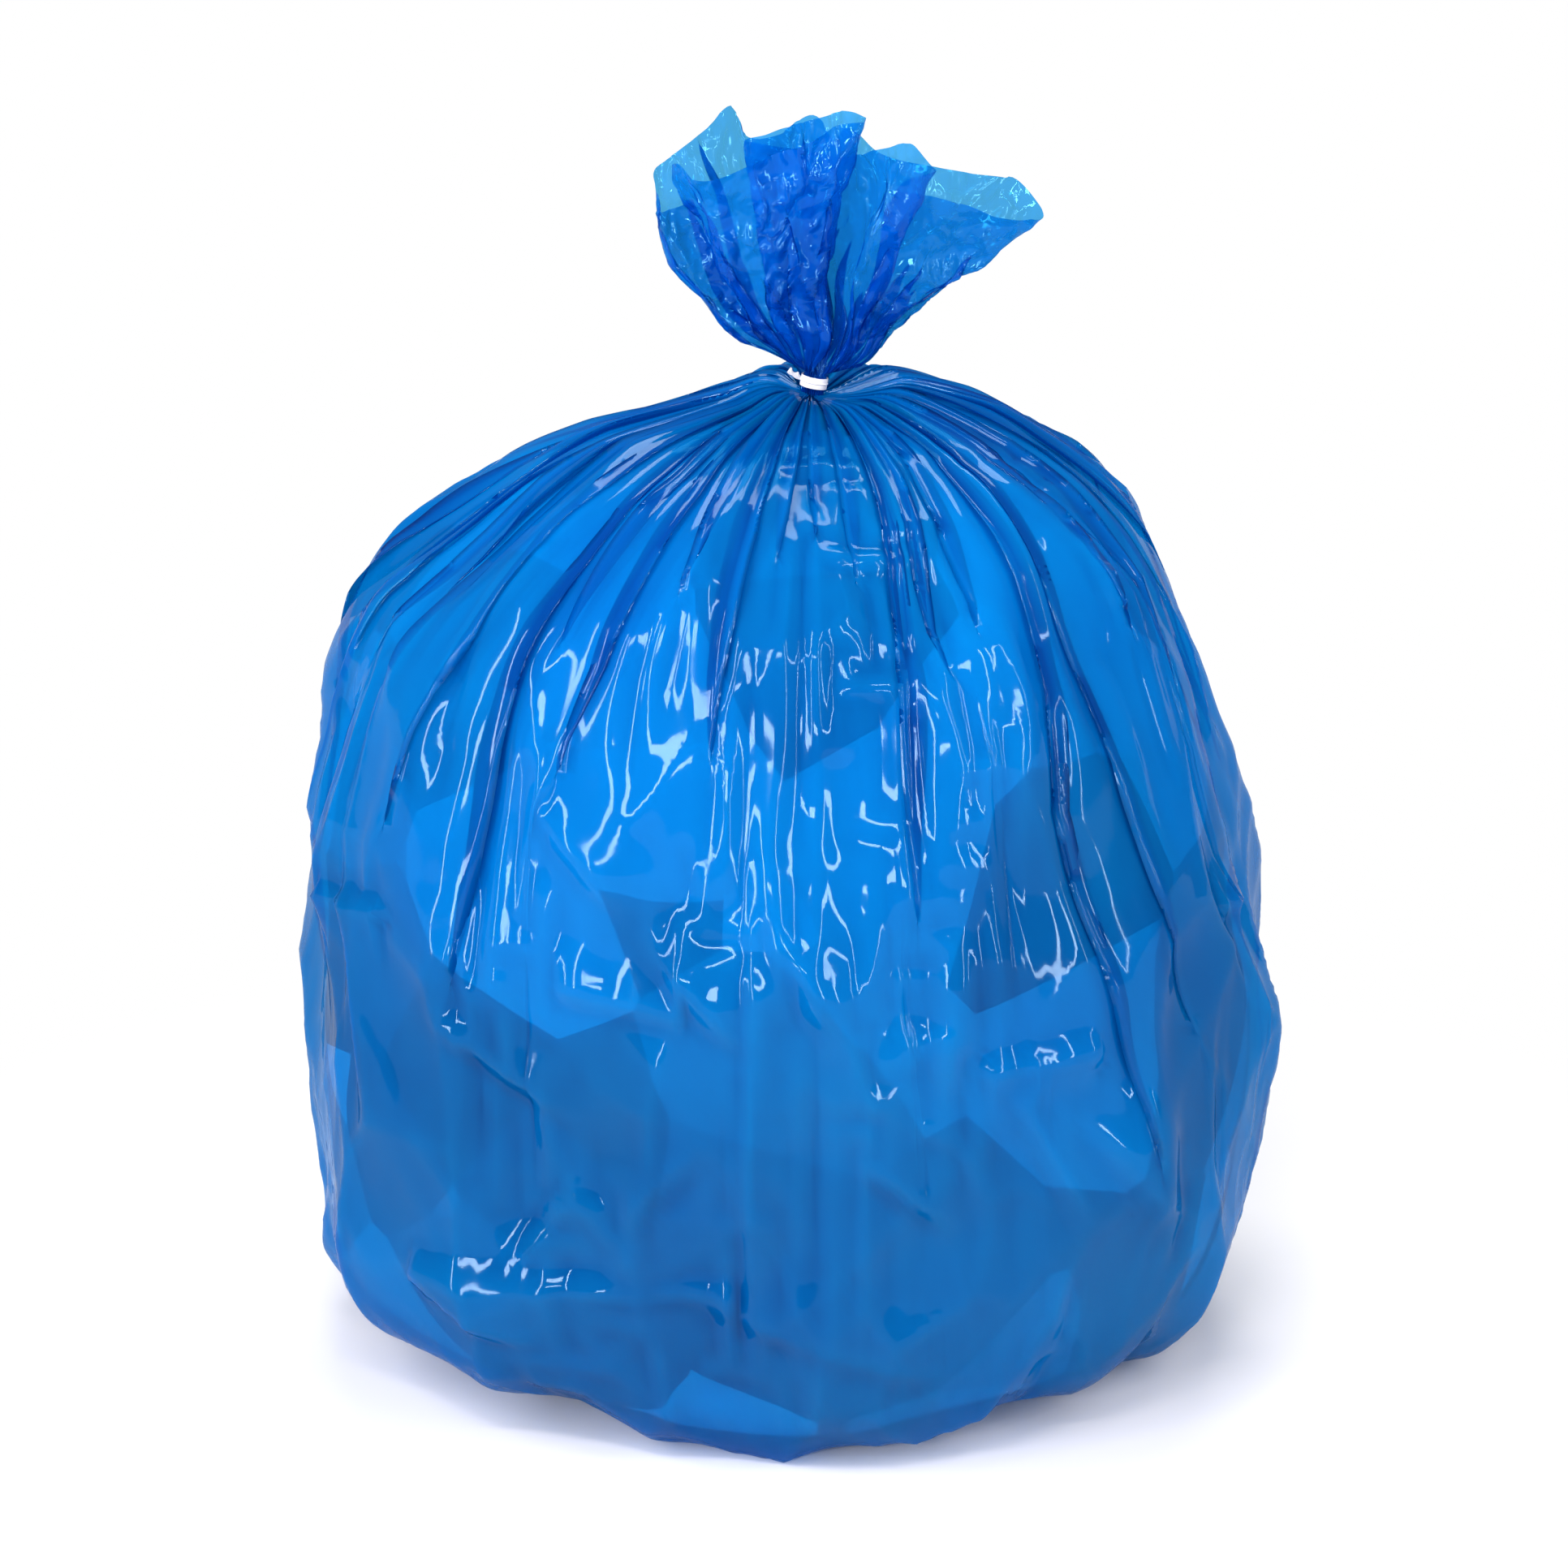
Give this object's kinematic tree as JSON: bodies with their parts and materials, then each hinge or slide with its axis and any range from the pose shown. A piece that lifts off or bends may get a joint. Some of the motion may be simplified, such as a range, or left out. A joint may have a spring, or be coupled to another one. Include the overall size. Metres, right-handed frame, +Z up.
{
  "type": "recycling bag",
  "caption": "Filled blue plastic-film recycling bag standing on its flat base, pleated into a white twist tie at the neck, with its open mouth flared above the tie.",
  "frame": {"origin": "middle of the bounding box's footprint, on the surface that the bag stands on", "axes": "+Z up through the neck, -Y towards the front, +X towards the side where the mouth flares widest"},
  "size_m": [0.5062, 0.4822, 0.6423],
  "materials": {
    "blue_film": "glossy translucent low-density film",
    "white_strip": "satin plastic-coated strip"
  },
  "bodies": {
    "root": {"bag": "blue_film", "tie": "white_strip"}
  },
  "joints": []
}
